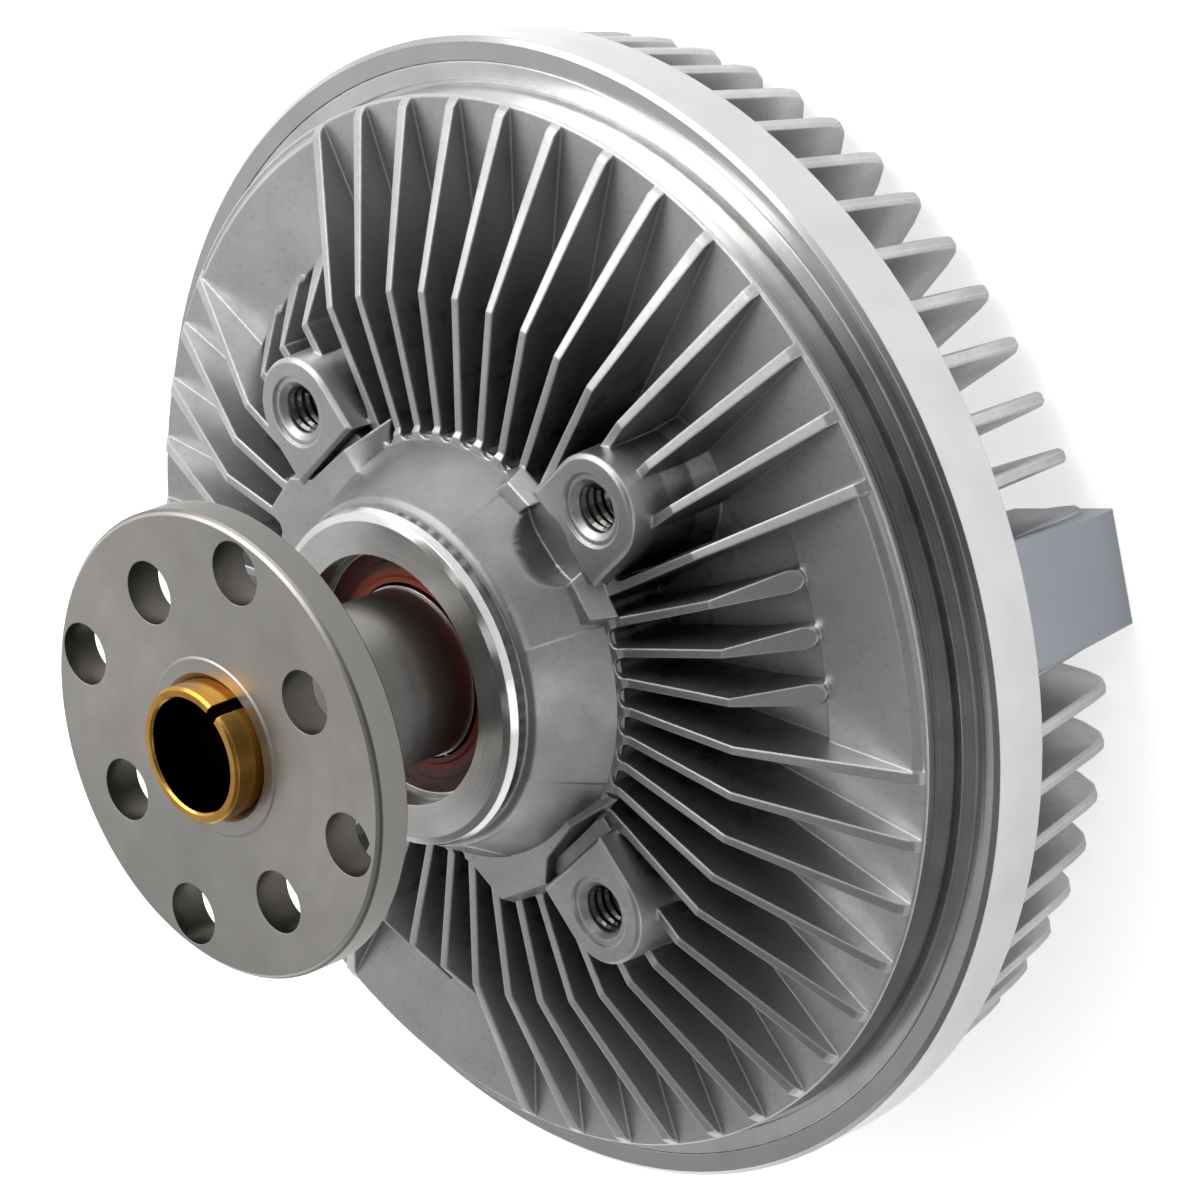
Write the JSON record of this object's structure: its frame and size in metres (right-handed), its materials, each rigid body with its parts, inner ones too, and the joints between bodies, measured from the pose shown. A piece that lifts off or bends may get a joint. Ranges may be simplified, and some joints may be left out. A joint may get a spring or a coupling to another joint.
{
  "type": "viscous fan clutch",
  "caption": "Thermal viscous fan clutch with a flanged input shaft, split brass pilot bushing, radially finned die-cast body and a bimetal spiral on its finned cover",
  "frame": {"origin": "centre of the drive flange's front face, where it meets the water pump hub", "axes": "+Z is the spin axis towards the pump, +X points at the right-hand cast pad and a cover block, +Y is square to both"},
  "size_m": [0.1662, 0.1662, 0.0966],
  "materials": {
    "steel_flange": "turned steel, satin grey with a faint warm tint",
    "brass_bushing": "burnished brass",
    "cast_aluminium": "die-cast, light grey matte with faint staining",
    "cast_cover": "die-cast, rim turned bright",
    "bearing_steel": "ground bearing steel",
    "seal_rubber": "dark red moulded rubber",
    "black_rubber": "black rubber",
    "spring_steel": "dark spring steel",
    "cage_polymer": "moulded polyamide",
    "rotor_aluminium": "turned aluminium",
    "plate_steel": "stamped steel with a light oil film",
    "zinc_screw": "zinc-plated screw",
    "bimetal": "bare bimetal strip"
  },
  "bodies": {
    "housing": {"rear_housing": "cast_aluminium", "front_cover": "cast_cover", "cover_seal_ring": "black_rubber", "bearing_outer_race": "bearing_steel", "bearing_seal_front": "seal_rubber", "bearing_seal_rear": "seal_rubber", "bearing_retaining_ring": "spring_steel", "pump_plate": "plate_steel", "pump_plate_screws": "zinc_screw", "wiper": "cage_polymer", "coil_bracket": "plate_steel", "coil_bracket_screws": "zinc_screw", "bimetal_coil": "bimetal"},
    "shaft": {"input_shaft": "steel_flange", "pilot_bushing": "brass_bushing", "bearing_inner_race": "bearing_steel", "clutch_rotor": "rotor_aluminium", "rotor_retaining_ring": "spring_steel"},
    "cage": {"bearing_cage": "cage_polymer", "bearing_balls": "bearing_steel"},
    "valve": {"valve_shaft": "spring_steel", "valve_arm": "plate_steel", "valve_shaft_o_ring": "black_rubber"}
  },
  "joints": [
    {"name": "shaft_spin", "type": "hinge", "parent": "housing", "child": "shaft", "pos_m": [0, 0, -0.042], "axis": [0, 0, 1], "continuous": true},
    {"name": "cage_spin", "type": "hinge", "parent": "housing", "child": "cage", "pos_m": [0, 0, -0.042], "axis": [0, 0, 1], "continuous": true},
    {"name": "valve_turn", "type": "hinge", "parent": "housing", "child": "valve", "pos_m": [0, 0, -0.078], "axis": [0, 0, 1], "range_deg": [0, 28], "stiffness_Nm_per_rad": 0.02, "deforming": ["bimetal_coil"]}
  ],
  "couplings": [
    {"joint": "cage_spin", "follows": "shaft_spin", "ratio": 0.3816}
  ]
}
